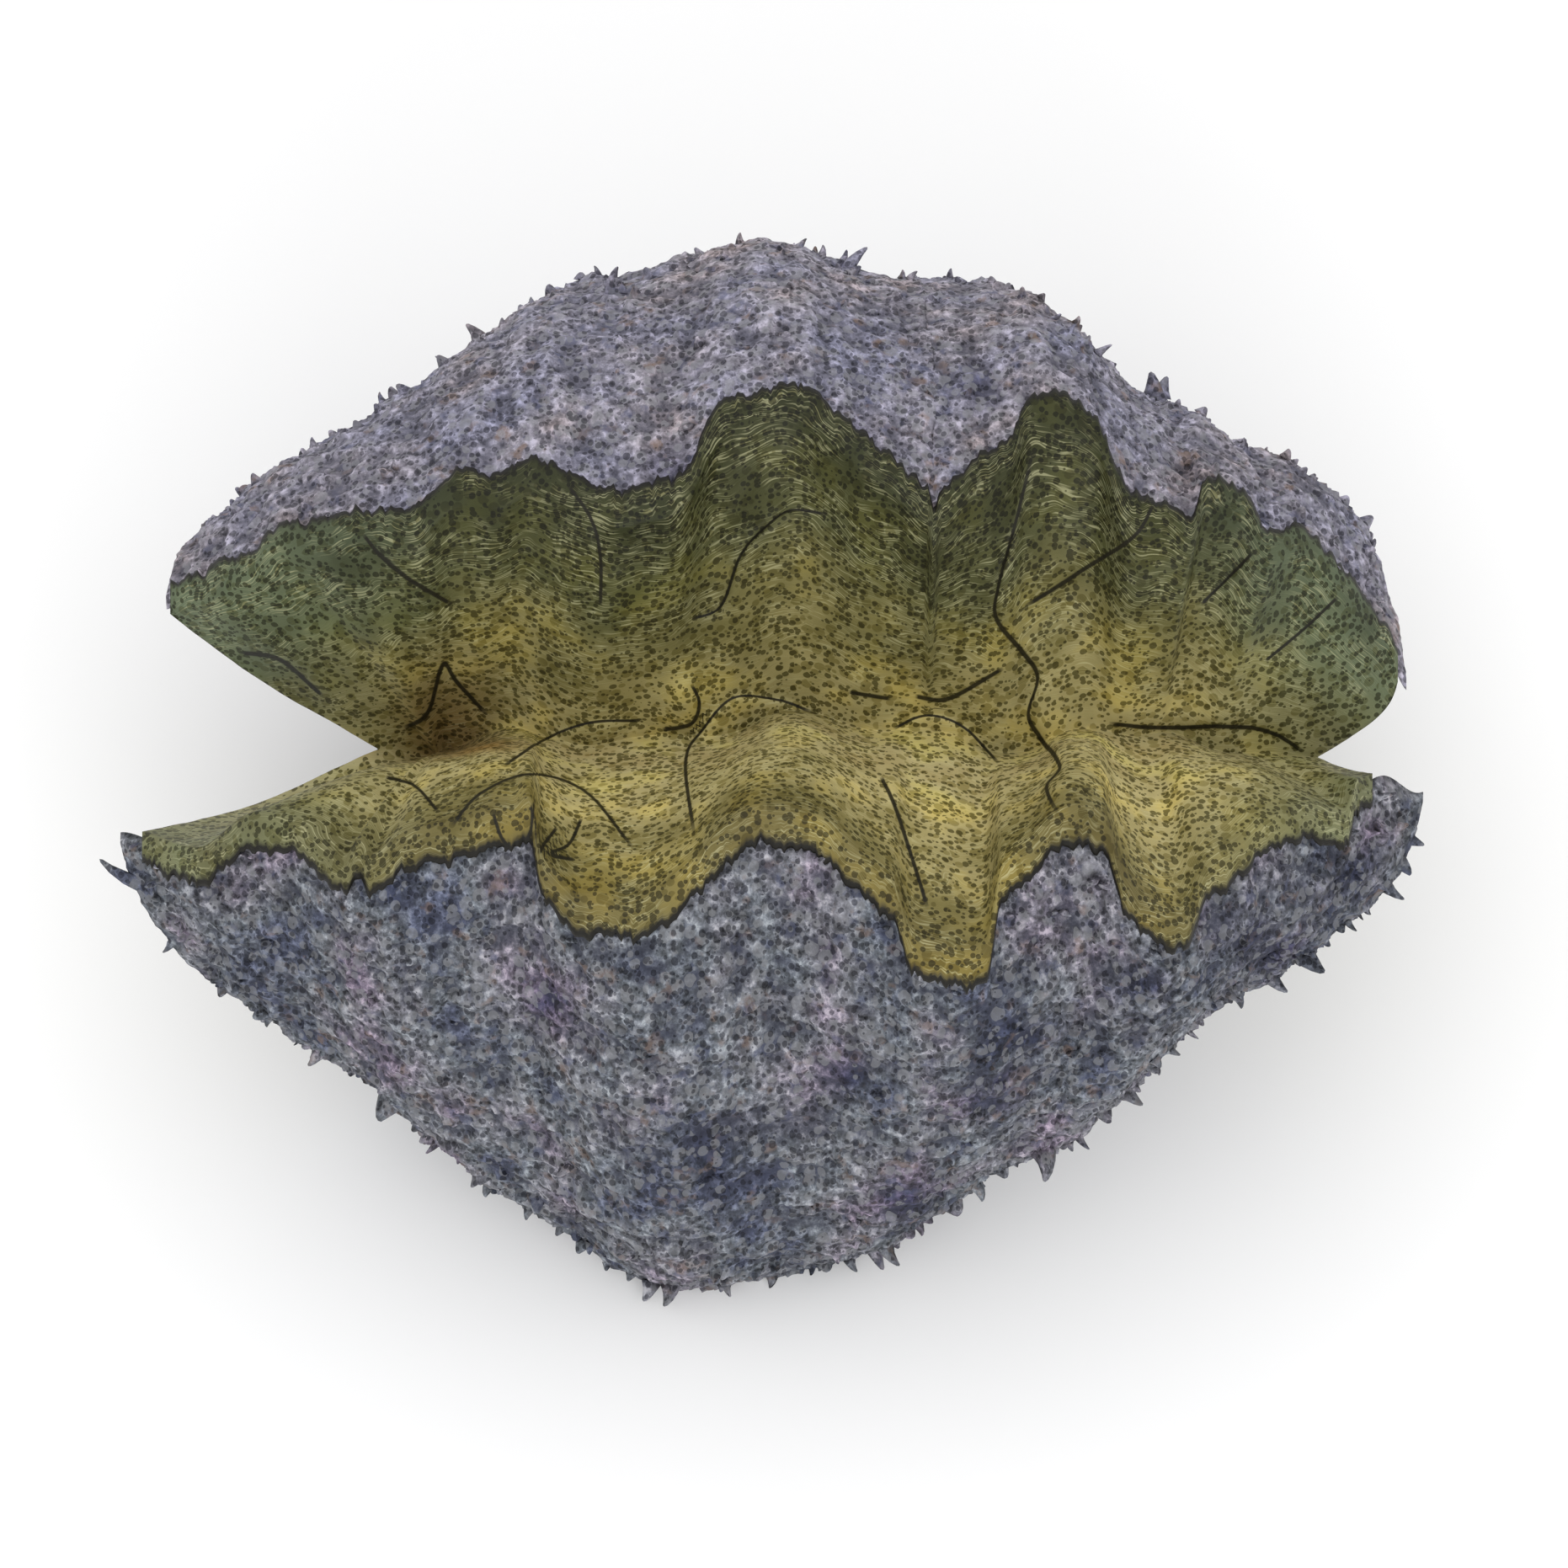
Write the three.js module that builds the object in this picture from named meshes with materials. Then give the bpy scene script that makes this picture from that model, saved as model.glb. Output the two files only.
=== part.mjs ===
// A giant clam, whole and open: two fluted valves, the mantle between them and the hinge ligament.
//
// Millimetres, +Z up. The clam stands on its worn underside and leans a little to the front.
// X runs along the hinge, -Y is the front, and the gape opens upwards.
// The origin is on the ground, at the middle of the outline seen from above.
//
// Each valve is worked out in the clam's own frame: x along the hinge, y across the gape and z from
// the hinge line up to the margin. A rib is the line that the shell grew along, from the hinge (t = 0)
// to the margin (t = 1). Ribs are numbered u = 0 at the left corner to u = 1 at the right corner.
import * as THREE from 'three';
import { mergeVertices } from 'three/addons/utils/BufferGeometryUtils.js';

// The whole clam.
const MARGIN_HEIGHT = 522;
const HALF_GAPE = 155;
const LEAN = THREE.MathUtils.degToRad(10);
const HINGE_RISE = 12;
const OUTLINE_CENTRE = { x: 9.5, y: 2.7 };

// The hinge line, and the slit that the ligament fills.
const HINGE_LEFT = -140;
const HINGE_RIGHT = 100;
const HINGE_SLIT = 4;

// The shell wall, from the hinge to the margin, and what is left of it over the worn base.
const WALL_AT_HINGE = 28;
const WALL_AT_MARGIN = 15;
const WALL_OVER_BASE = 14;

// Gaps between the soft tissue and the shell.
const RIM_GAP = 1.5;
const BODY_GAP = 4;

// The mantle's own sizes. Its underside is above the hinge plates, and its ends are a few ribs in.
const MANTLE_RIM = 14;
const MANTLE_PLUMP = 26;
const MANTLE_VALLEY = 345;
const MANTLE_FLOOR = 72;
const MANTLE_END_RIBS = 4;

// Facets: steps along the margin, from hinge to margin, and across the mantle.
const RIB_STEPS = 54;
const GROWTH_STEPS = 9;

// Folds of each margin, as [x, how far the margin is pushed to the back], at each turn of the wave.
// Bulge is how far a rib swings out, low down and high up: at the left end, at the right end, what
// mid length adds, and how sharply that fades to the ends. Drop is how far it sags there.
const frontValve = {
  side: -1,
  left: -415,
  right: 434,
  crown: 0.97,
  bulge: { low: [224, 91, 355, 1.4], high: [54, 101, 0, 1] },
  drop: { low: [60, 360], high: [60, -15] },
  folds: [
    [-415, 0], [-366, -14], [-324, 12], [-264, -16], [-165, 26], [-91, -32], [3, 38],
    [128, -48], [214, 32], [277, -32], [354, 20], [400, 14], [434, 0],
  ],
};
const backValve = {
  side: 1,
  left: -385,
  right: 423,
  crown: 0.84,
  bulge: { low: [75, 227, 258, 2.2], high: [126, 163, 152, 1.75] },
  drop: { low: [60, 410], high: [70, 49] },
  folds: [
    [-385, 0], [-340, 4], [-262, -14], [-154, 10], [-85, -22], [11, 38],
    [114, -40], [192, 42], [279, -30], [300, -6], [332, -20], [365, 2], [423, 0],
  ],
};

// The end falls of the margin: how much height and gape is lost from mid length to each corner.
const heightFall = { left: 192, right: 239, power: 2.8 };
const gapeFall = { left: [77, 2.2], right: [115, 4] };
const CORNER_LEFT = 415;
const CORNER_RIGHT = 434;

const lerp = THREE.MathUtils.lerp;

// Height of the margin above the hinge.
function marginHeight(x) {
  const reach = x < 0 ? -x / CORNER_LEFT : x / CORNER_RIGHT;
  const fall = x < 0 ? heightFall.left : heightFall.right;
  return MARGIN_HEIGHT - fall * Math.min(reach, 1) ** heightFall.power;
}

// Distance of the smooth margin from the mid plane.
function marginGape(x) {
  const reach = x < 0 ? -x / CORNER_LEFT : x / CORNER_RIGHT;
  const [fall, power] = x < 0 ? gapeFall.left : gapeFall.right;
  return HALF_GAPE - fall * Math.min(reach, 1) ** power;
}

// A wave that eases from one turn to the next.
function foldAt(folds, x) {
  let i = 0;
  while (i < folds.length - 2 && x > folds[i + 1][0]) i += 1;
  const [x0, push0] = folds[i];
  const [x1, push1] = folds[i + 1];
  return lerp(push0, push1, THREE.MathUtils.smoothstep(x, x0, x1));
}

// How deep the folds are on the way from the hinge to the margin.
function foldDepth(t) {
  return 0.15 * t + 0.85 * t ** 3.5;
}

// A rib's own curve, before the folds push it.
function ribCurve(valve, u) {
  const x = lerp(valve.left, valve.right, u);
  const lift = -0.15 * valve.side * foldAt(valve.folds, x);
  const skewed = u ** valve.crown;
  const fullness = 4 * skewed * (1 - skewed);
  const [lowLeft, lowRight, lowMore, lowPower] = valve.bulge.low;
  const [highLeft, highRight, highMore, highPower] = valve.bulge.high;
  const low = lerp(lowLeft, lowRight, u) + lowMore * fullness ** lowPower;
  const high = lerp(highLeft, highRight, u) + highMore * fullness ** highPower;
  const hinge = new THREE.Vector3(lerp(HINGE_LEFT, HINGE_RIGHT, u), valve.side * HINGE_SLIT, 0);
  const margin = new THREE.Vector3(x, valve.side * marginGape(x), marginHeight(x) + lift);
  const run = margin.x - hinge.x;
  const lowDrop = valve.drop.low[0] - valve.drop.low[1] * fullness;
  const highDrop = -valve.drop.high[0] - valve.drop.high[1] * fullness;
  const leave = hinge.clone().add(new THREE.Vector3(0.55 * run, valve.side * low, lowDrop));
  const arrive = margin.clone().add(new THREE.Vector3(-0.06 * run, valve.side * high, highDrop));
  return new THREE.CubicBezierCurve3(hinge, leave, arrive, margin);
}

// Direction from the outside of the shell through its wall. At the margin it turns across the gape,
// so that the wall is as thick on the flanks of a fold as on its crest.
function inward(valve, u, t) {
  const step = 0.004;
  const u0 = Math.max(u - step, 0);
  const u1 = Math.min(u + step, 1);
  const t0 = Math.max(t - step, 0);
  const t1 = Math.min(t + step, 1);
  const along = ribCurve(valve, u1).getPoint(t).sub(ribCurve(valve, u0).getPoint(t));
  const rib = ribCurve(valve, u);
  const outward = rib.getPoint(t1).sub(rib.getPoint(t0));
  const through = along.cross(outward).normalize().multiplyScalar(valve.side);
  const across = new THREE.Vector3(0, -valve.side, -0.45).normalize();
  return through.lerp(across, THREE.MathUtils.smoothstep(t, 0.4, 1)).normalize();
}

// A point on a valve, a given depth in from its outside, and never over the slit at the hinge.
function shellPoint(valve, u, t, depth) {
  const point = ribCurve(valve, u).getPoint(t);
  if (depth > 0) point.addScaledVector(inward(valve, u, t), depth);
  point.y = valve.side * Math.max(valve.side * point.y, HINGE_SLIT);
  point.y += foldAt(valve.folds, lerp(valve.left, valve.right, u)) * foldDepth(t);
  return point;
}

function wallAt(u, t) {
  const ends = 0.55 + 0.45 * Math.sqrt(4 * u * (1 - u));
  return lerp(WALL_AT_HINGE, WALL_AT_MARGIN, t) * ends;
}

// From the clam's own frame to the ground: leaned, raised and centred, and no lower than the floor.
function stand(point, floor = -Infinity) {
  const y = point.y * Math.cos(LEAN) - point.z * Math.sin(LEAN);
  const z = point.y * Math.sin(LEAN) + point.z * Math.cos(LEAN) + HINGE_RISE;
  return new THREE.Vector3(point.x - OUTLINE_CENTRE.x, y - OUTLINE_CENTRE.y, Math.max(z, floor));
}

// Growth lines are closer together towards the margin.
function growthAt(j) {
  const left = 1 - j / GROWTH_STEPS;
  return 1 - left ** 1.15;
}

// Ribs are closer together towards the corners.
function ribAt(i) {
  const even = i / RIB_STEPS;
  const crowded = 0.5 - 0.5 * Math.cos(Math.PI * even);
  return lerp(even, crowded, 0.6);
}

// A closed solid from rings of points. Each ring goes out along one face and back along the other,
// so the two ends are closed by joining the first half of the ring to the second. Between the two
// turned places the facets are split along their other diagonal, so that facing skins stay parallel.
function solidFromRings(rings, turnFrom, turnTo) {
  const size = rings[0].length;
  const half = size / 2;
  const index = [];
  const quad = (a, b, c, d) => index.push(a, b, c, a, c, d);
  for (let i = 0; i < rings.length - 1; i += 1) {
    for (let k = 0; k < size; k += 1) {
      const next = (k + 1) % size;
      const corners = [i * size + k, (i + 1) * size + k, (i + 1) * size + next, i * size + next];
      if (k >= turnFrom && k < turnTo) corners.push(corners.shift());
      quad(...corners);
    }
  }
  const points = rings.flat();
  const shorterWay = (a, b, c, d) => {
    const straight = points[a].distanceTo(points[c]) < points[b].distanceTo(points[d]);
    quad(...(straight ? [a, b, c, d] : [b, c, d, a]));
  };
  const last = (rings.length - 1) * size;
  for (let k = 0; k < half - 1; k += 1) {
    const far = size - 1 - k;
    shorterWay(k, k + 1, far - 1, far);
    shorterWay(last + far, last + far - 1, last + k + 1, last + k);
  }
  const geometry = new THREE.BufferGeometry();
  const corners = points.flatMap((p) => [p.x, p.y, p.z]);
  geometry.setAttribute('position', new THREE.Float32BufferAttribute(corners, 3));
  geometry.setIndex(index);
  const solid = mergeVertices(faceOut(geometry), 1e-4);
  solid.computeVertexNormals();
  return solid;
}

// Turns every face round if the solid came out inside out.
function faceOut(geometry) {
  const index = geometry.getIndex().array;
  const corner = (i) => new THREE.Vector3().fromBufferAttribute(geometry.getAttribute('position'), i);
  let volume = 0;
  for (let i = 0; i < index.length; i += 3) {
    volume += corner(index[i]).dot(corner(index[i + 1]).cross(corner(index[i + 2])));
  }
  if (volume < 0) geometry.setIndex(Array.from(index).reverse());
  return geometry;
}

function valveSolid(valve) {
  const rings = [];
  for (let i = 0; i <= RIB_STEPS; i += 1) {
    const u = ribAt(i);
    const outside = [];
    const inside = [];
    for (let j = 0; j <= GROWTH_STEPS; j += 1) {
      const t = growthAt(j);
      outside.push(stand(shellPoint(valve, u, t, 0), 0));
      inside.push(stand(shellPoint(valve, u, t, wallAt(u, t)), WALL_OVER_BASE));
    }
    rings.push([...outside, ...inside.reverse()]);
  }
  return solidFromRings(rings, GROWTH_STEPS + 1, 2 * GROWTH_STEPS + 1);
}

// The line where the two lobes of the mantle meet, from the left notch to the right notch.
const notch = { left: -275, right: 384, fade: 0.3 };
const valleyEnds = { left: 300, right: 268 };

function valleyPoint(u) {
  const x = lerp(frontValve.left, frontValve.right, u);
  const leftPull = (1 - THREE.MathUtils.smoothstep(u, 0, notch.fade)) * (notch.left - frontValve.left);
  const rightPull = THREE.MathUtils.smoothstep(u, 1 - notch.fade, 1) * (frontValve.right - notch.right);
  const crest = 4 * u * (1 - u);
  const ends = lerp(valleyEnds.left, valleyEnds.right, u);
  return new THREE.Vector3(x + leftPull - rightPull, 0, lerp(ends, MANTLE_VALLEY, crest));
}

// The two siphons: the wide inhalant slit sinks in, the small exhalant one stands up as a cone.
const siphons = [
  { x: -202, y: 6, length: 48, width: 30, height: -46 },
  { x: -47, y: 8, length: 22, width: 20, height: 26 },
];

function siphonRise(point) {
  let rise = 0;
  for (const siphon of siphons) {
    const away = ((point.x - siphon.x) / siphon.length) ** 2 + ((point.y - siphon.y) / siphon.width) ** 2;
    rise += siphon.height * Math.exp(-away);
  }
  return rise;
}

// The mantle's skin: across = -1 at the front margin, 0 in the valley, 1 at the back margin.
function mantleSkin(u, across) {
  const valve = across < 0 ? frontValve : backValve;
  const rim = shellPoint(valve, u, 1, wallAt(u, 1) + BODY_GAP);
  rim.z += MANTLE_RIM;
  const reach = Math.abs(across);
  const valley = valleyPoint(u);
  const point = valley.clone().lerp(rim, reach);
  point.z = lerp(valley.z, rim.z, reach ** 1.15) + MANTLE_PLUMP * Math.sin(Math.PI * reach);
  point.z += siphonRise(point);
  return stand(point);
}

// The edge of the mantle, over the margin of the shell: its top, or its underside.
function mantleEdge(valve, u, rise) {
  const point = shellPoint(valve, u, 1, 0);
  point.z += rise;
  return stand(point);
}

// The mantle's underside on one valve: down the inside of the shell, from the margin.
function mantleUnderside(valve, u) {
  const points = [mantleEdge(valve, u, RIM_GAP)];
  for (let j = GROWTH_STEPS; j >= 1; j -= 1) {
    const t = growthAt(j);
    const point = shellPoint(valve, u, t, wallAt(u, t) + BODY_GAP);
    if (j === GROWTH_STEPS) point.z += RIM_GAP;
    points.push(stand(point, MANTLE_FLOOR));
  }
  return points;
}

function mantleSolid() {
  const skinSteps = 2 * GROWTH_STEPS - 1;
  const rings = [];
  for (let i = MANTLE_END_RIBS; i <= RIB_STEPS - MANTLE_END_RIBS; i += 1) {
    const u = ribAt(i);
    const ring = [mantleEdge(frontValve, u, MANTLE_RIM)];
    for (let k = 0; k <= skinSteps; k += 1) ring.push(mantleSkin(u, lerp(-1, 1, k / skinSteps)));
    ring.push(mantleEdge(backValve, u, MANTLE_RIM));
    ring.push(...mantleUnderside(backValve, u), ...mantleUnderside(frontValve, u).reverse());
    rings.push(ring);
  }
  const underBack = 2 * GROWTH_STEPS + 2;
  return solidFromRings(rings, underBack, underBack + GROWTH_STEPS);
}

// The ligament: a flat band of horn-like tissue in the slit between the two hinge plates.
function ligamentSolid() {
  const steps = 12;
  const halfWidth = HINGE_SLIT - 0.5;
  const rings = [];
  for (let i = 0; i <= steps; i += 1) {
    const along = i / steps;
    const x = lerp(HINGE_LEFT + 14, HINGE_RIGHT - 14, along);
    const tall = 5 + 8 * Math.sqrt(4 * along * (1 - along));
    const low = 13 - tall;
    const high = 13 + tall;
    const corners = [[-1, low], [-1, high], [1, high], [1, low]];
    rings.push(corners.map(([side, z]) => stand(new THREE.Vector3(x, side * halfWidth, z))));
  }
  return solidFromRings(rings, 0, 0);
}

function piece(name, geometry, color, roughness) {
  const mesh = new THREE.Mesh(geometry, new THREE.MeshStandardMaterial({ color, roughness, metalness: 0 }));
  mesh.name = name;
  return mesh;
}

const clam = new THREE.Group();
clam.add(piece('front_valve', valveSolid(frontValve), 0x65656d, 0.9));
clam.add(piece('back_valve', valveSolid(backValve), 0x7f7d84, 0.9));
clam.add(piece('mantle', mantleSolid(), 0x6a6240, 0.55));
clam.add(piece('ligament', ligamentSolid(), 0x3a2a1c, 0.6));

export default clam;
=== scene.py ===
import math
import random

import bmesh
import bpy
import numpy as np
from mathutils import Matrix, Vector, noise


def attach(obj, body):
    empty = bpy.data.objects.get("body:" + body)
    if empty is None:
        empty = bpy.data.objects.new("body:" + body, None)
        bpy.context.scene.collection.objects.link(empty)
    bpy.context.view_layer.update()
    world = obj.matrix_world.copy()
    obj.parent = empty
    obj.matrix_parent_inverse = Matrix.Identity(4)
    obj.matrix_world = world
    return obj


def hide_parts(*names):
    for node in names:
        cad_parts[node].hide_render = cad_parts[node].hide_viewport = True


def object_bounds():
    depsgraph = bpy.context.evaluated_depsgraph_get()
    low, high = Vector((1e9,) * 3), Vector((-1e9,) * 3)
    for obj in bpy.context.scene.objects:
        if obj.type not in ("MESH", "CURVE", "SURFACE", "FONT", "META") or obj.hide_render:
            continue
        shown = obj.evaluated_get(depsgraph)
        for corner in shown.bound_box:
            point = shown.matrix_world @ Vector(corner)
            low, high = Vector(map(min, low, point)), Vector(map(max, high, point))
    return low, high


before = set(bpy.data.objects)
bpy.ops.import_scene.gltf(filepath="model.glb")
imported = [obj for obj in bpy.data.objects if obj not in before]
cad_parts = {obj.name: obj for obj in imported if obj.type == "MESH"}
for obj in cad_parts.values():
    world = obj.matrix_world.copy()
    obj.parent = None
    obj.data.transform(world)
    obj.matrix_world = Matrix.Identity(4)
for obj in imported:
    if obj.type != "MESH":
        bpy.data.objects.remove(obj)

frame_low, frame_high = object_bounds()

MM = 0.001

# The clam's sizes, the same as its frame's.
MARGIN_HEIGHT = 522
HALF_GAPE = 155
CORNER_LEFT = 415
CORNER_RIGHT = 434
LEAN = math.radians(10)
HINGE_RISE = 12
OUTLINE_CENTRE = (9.5, 2.7)
HINGE_LEFT = -140
HINGE_RIGHT = 100
HINGE_SLIT = 4
WALL_AT_HINGE = 28
WALL_AT_MARGIN = 15
WALL_OVER_BASE = 14
MANTLE_VALLEY = 345
BODY_GAP = 4
# How much farther in than the frame's the lip is.
LIP_INSET = 6

# Teeth, patches of painted shade and creases have their places on a plan, as x and back: the
# clam seen from 77 degrees up at its front, before it leans.
PLAN_TILT = math.radians(77)
PLAN_SHIFT = OUTLINE_CENTRE[1] * math.sin(PLAN_TILT - LEAN) - HINGE_RISE * math.cos(PLAN_TILT - LEAN)

# The two valves. Crown shifts the fullest rib off mid length. Low and high are how far a rib
# swings out as it leaves the hinge and as it nears the margin: at the left end, at the right end,
# what mid length adds, and how sharply that fades. Drop low is how high over the hinge a corner
# rib sets off, and how much lower one at mid length does. Drop high is how far under the margin a
# corner rib comes from, and what mid length adds. Bare tips are the ribs at the left and right
# corner that the mantle leaves bare, and end slack is how far its skin swells beside each, or
# sags where it is negative.
#
# Shoulders are swellings of the outside, as x, reach and height. Shade patches are patches of painted
# shade, as x, back and reach, and teeth are the big thorns round the outline, as x and length. Folds
# are (x, how far the margin is pushed to the back), and scallops are the same, for the small lobes
# and nicks of the margin that the frame leaves out.
FRONT = {
    "name": "front_valve",
    "side": -1,
    "left": -415,
    "right": 434,
    "crown": 0.97,
    "low": (224, 91, 355, 1.4),
    "high": (54, 101, 0, 1),
    "drop_low": (60, 360),
    "drop_high": (60, -15),
    "bare_tips": (0.014, 0.037),
    "end_slack": (-36, -6),
    "shoulders": [(-35, 60, 15), (185, 50, 12), (350, 40, 6)],
    "shade_patches": [
        (172, -125, 34), (150, -160, 24), (-33, -194, 38), (330, -62, 44), (392, -18, 30),
        (250, -92, 24), (-137, -96, 20), (62, -150, 22), (100, -232, 26),
    ],
    "teeth": [
        (-385, 9), (-352, 8), (-322, 10), (-290, 12), (-244, 19), (-214, 9), (-180, 11),
        (-152, 8), (-118, 9), (-72, 13), (-56, 17), (-18, 9), (12, 10), (38, 8), (62, 10),
        (86, 15), (108, 12), (131, 15), (146, 17), (163, 9), (190, 22), (212, 11), (228, 12),
        (245, 14), (262, 9), (284, 8), (316, 13), (339, 15), (360, 20), (388, 8), (414, 14),
        (424, 12), (430, 9),
    ],
    "folds": [
        (-415, 0), (-366, -14), (-324, 12), (-264, -16), (-165, 26), (-91, -32), (3, 38),
        (128, -48), (214, 32), (277, -32), (354, 20), (400, 14), (434, 0),
    ],
    "scallops": [
        (-415, 0), (-324, 2), (-289, 12), (-268, 6), (-258, 20), (-249, 7), (-231, 14),
        (-187, 3), (-160, 4), (-147, 20), (-139, -9), (-121, -8), (-99, 9), (-66, 1),
        (-38, -3), (5, 1), (55, 13), (87, 18), (100, -7), (121, -2), (147, -11), (158, 28),
        (184, 18), (225, 5), (238, -18), (275, -2), (292, 26), (313, 18), (352, 2),
        (382, -8), (391, 12), (407, 13), (434, 0),
    ],
}
BACK = {
    "name": "back_valve",
    "side": 1,
    "left": -385,
    "right": 423,
    "crown": 0.84,
    "low": (75, 227, 258, 2.2),
    "high": (126, 163, 152, 1.75),
    "drop_low": (60, 410),
    "drop_high": (70, 49),
    "bare_tips": (0.0, 0.004),
    "end_slack": (-2, 8),
    "shoulders": [(-88, 50, 8), (112, 42, 15), (372, 55, 17), (-300, 60, 5)],
    "shade_patches": [(-60, 248, 20), (60, 262, 22), (-150, 218, 18), (140, 300, 18), (210, 236, 18)],
    "teeth": [
        (-330, 7), (-292, 8), (-247, 10), (-208, 8), (-185, 13), (-150, 7), (-102, 7),
        (-14, 8), (30, 9), (44, 10), (62, 19), (92, 7), (126, 8), (210, 9), (224, 10),
        (258, 18), (266, 14), (292, 8), (318, 7), (346, 9), (385, 8), (404, 8),
    ],
    "folds": [
        (-385, 0), (-340, 4), (-262, -14), (-154, 10), (-85, -22), (11, 38),
        (114, -40), (192, 42), (279, -30), (300, -6), (332, -20), (365, 2), (423, 0),
    ],
    "scallops": [
        (-385, 0), (-352, -11), (-330, -12), (-308, 1), (-264, 2), (-220, -15), (-198, -8),
        (-165, -22), (-143, -15), (-99, -15), (-77, -14), (-48, -24), (-25, 0), (0, -8), (38, 1),
        (60, 4), (88, 10), (110, 4), (114, -12), (119, 3), (132, 5), (165, -13), (174, -2),
        (192, -5), (220, 3), (238, -17), (272, 9), (282, 8), (290, 27), (299, 20), (316, 27),
        (333, 19), (346, 25), (385, 14), (408, 10), (423, 0),
    ],
}

# How far the margin falls, and how far each valve closes in, from mid length to the left and the
# right corner. A higher power keeps the change closer to the corner.
HEIGHT_FALL = (192, 239, 2.8)
GAPE_FALL = ((77, 2.2), (115, 4))
# How much a fold lifts the margin, and the share of a rib's run along the hinge that it makes as
# it leaves the hinge and as it nears the margin.
FOLD_LIFT = 0.15
LEAVE_RUN = 0.55
ARRIVE_RUN = 0.06

# How fine the meshes are: ribs along the margin, and rows from hinge to margin or rim to rim. The
# lining has one row to every few of the outside's.
SHELL_RIBS = 440
SHELL_ROWS = 152
SHELL_LINING_STEP = 4
MANTLE_RIBS = 450
MANTLE_ROWS = 148
MANTLE_EDGE_ROWS = 9
MANTLE_UNDER_ROWS = 15


def lerp(a, b, t):
    return a + (b - a) * t


def ease(x, start, end):
    """0 before start, 1 after end, and a soft step between them."""
    s = np.clip((x - start) / (end - start), 0, 1)
    return s * s * (3 - 2 * s)


def stack(x, y, z):
    return np.stack(np.broadcast_arrays(x, y, z), axis=-1).astype(float)


def unit(v):
    return v / np.maximum(np.linalg.norm(v, axis=-1, keepdims=True), 1e-9)


def wave(turns, x):
    """A wave along the margin that eases from one turn to the next."""
    push = np.zeros_like(x)
    for (x0, push0), (x1, push1) in zip(turns, turns[1:]):
        push = np.where((x >= x0) & (x <= x1), lerp(push0, push1, ease(x, x0, x1)), push)
    return push


def corner_reach(x):
    """0 at mid length and 1 at the corners."""
    return np.minimum(np.where(x < 0, -x / CORNER_LEFT, x / CORNER_RIGHT), 1)


def margin_height(x):
    left, right, power = HEIGHT_FALL
    return MARGIN_HEIGHT - np.where(x < 0, left, right) * corner_reach(x) ** power


def margin_gape(x):
    (left, left_power), (right, right_power) = GAPE_FALL
    reach = corner_reach(x)
    return HALF_GAPE - np.where(x < 0, left * reach**left_power, right * reach**right_power)


def rib_ends(valve, u):
    """The four control points of each rib: hinge, leave, arrive and margin."""
    x = lerp(valve["left"], valve["right"], u)
    side = valve["side"]
    lift = -FOLD_LIFT * side * wave(valve["folds"], x)
    skewed = u ** valve["crown"]
    fullness = 4 * skewed * (1 - skewed)
    low_left, low_right, low_more, low_fade = valve["low"]
    high_left, high_right, high_more, high_fade = valve["high"]
    low = lerp(low_left, low_right, u) + low_more * fullness**low_fade
    high = lerp(high_left, high_right, u) + high_more * fullness**high_fade
    low_drop = valve["drop_low"][0] - valve["drop_low"][1] * fullness
    high_drop = -valve["drop_high"][0] - valve["drop_high"][1] * fullness
    hinge = stack(lerp(HINGE_LEFT, HINGE_RIGHT, u), side * HINGE_SLIT, 0.0)
    margin = stack(x, side * margin_gape(x), margin_height(x) + lift)
    run = margin[..., 0] - hinge[..., 0]
    leave = hinge + stack(LEAVE_RUN * run, side * low, low_drop)
    arrive = margin + stack(-ARRIVE_RUN * run, side * high, high_drop)
    return hinge, leave, arrive, margin


def rib_point(valve, u, t):
    hinge, leave, arrive, margin = rib_ends(valve, u)
    t = t[..., None]
    back = 1 - t
    return hinge * back**3 + 3 * leave * back**2 * t + 3 * arrive * back * t**2 + margin * t**3


def inward(valve, u, t):
    """The way through the wall from its outside, turned across the gape near the margin."""
    step = 0.004
    along = rib_point(valve, np.minimum(u + step, 1), t) - rib_point(valve, np.maximum(u - step, 0), t)
    out = rib_point(valve, u, np.minimum(t + step, 1)) - rib_point(valve, u, np.maximum(t - step, 0))
    through = unit(np.cross(along, out)) * valve["side"]
    across = unit(np.array([0.0, -valve["side"], -0.45]))
    return unit(lerp(through, across, ease(t, 0.4, 1)[..., None]))


def shell_point(valve, u, t, depth):
    """A point on a valve, a given depth in from its outside."""
    point = rib_point(valve, u, t)
    if np.any(depth):
        point = point + inward(valve, u, t) * np.asarray(depth)[..., None]
    side = valve["side"]
    point[..., 1] = side * np.maximum(side * point[..., 1], HINGE_SLIT)
    x = lerp(valve["left"], valve["right"], u)
    # Folds deepen towards the margin, and scallops show only beside it.
    point[..., 1] += wave(valve["folds"], x) * (0.15 * t + 0.85 * t**3.5)
    point[..., 1] += (wave(valve["scallops"], x) - side * LIP_INSET) * t**16
    return point


def wall_at(u, t):
    """How thick the wall is: it thins towards the margin and towards the corners."""
    ends = 0.55 + 0.45 * np.sqrt(4 * u * (1 - u))
    return lerp(WALL_AT_HINGE, WALL_AT_MARGIN, t) * ends


def stand(point, floor=None):
    """From the clam's own frame to the ground: leaned, raised, centred, and above its floor."""
    y = point[..., 1] * math.cos(LEAN) - point[..., 2] * math.sin(LEAN) - OUTLINE_CENTRE[1]
    z = point[..., 1] * math.sin(LEAN) + point[..., 2] * math.cos(LEAN) + HINGE_RISE
    if floor is not None:
        z = np.maximum(z, floor)
    return stack(point[..., 0] - OUTLINE_CENTRE[0], y, z)


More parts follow.
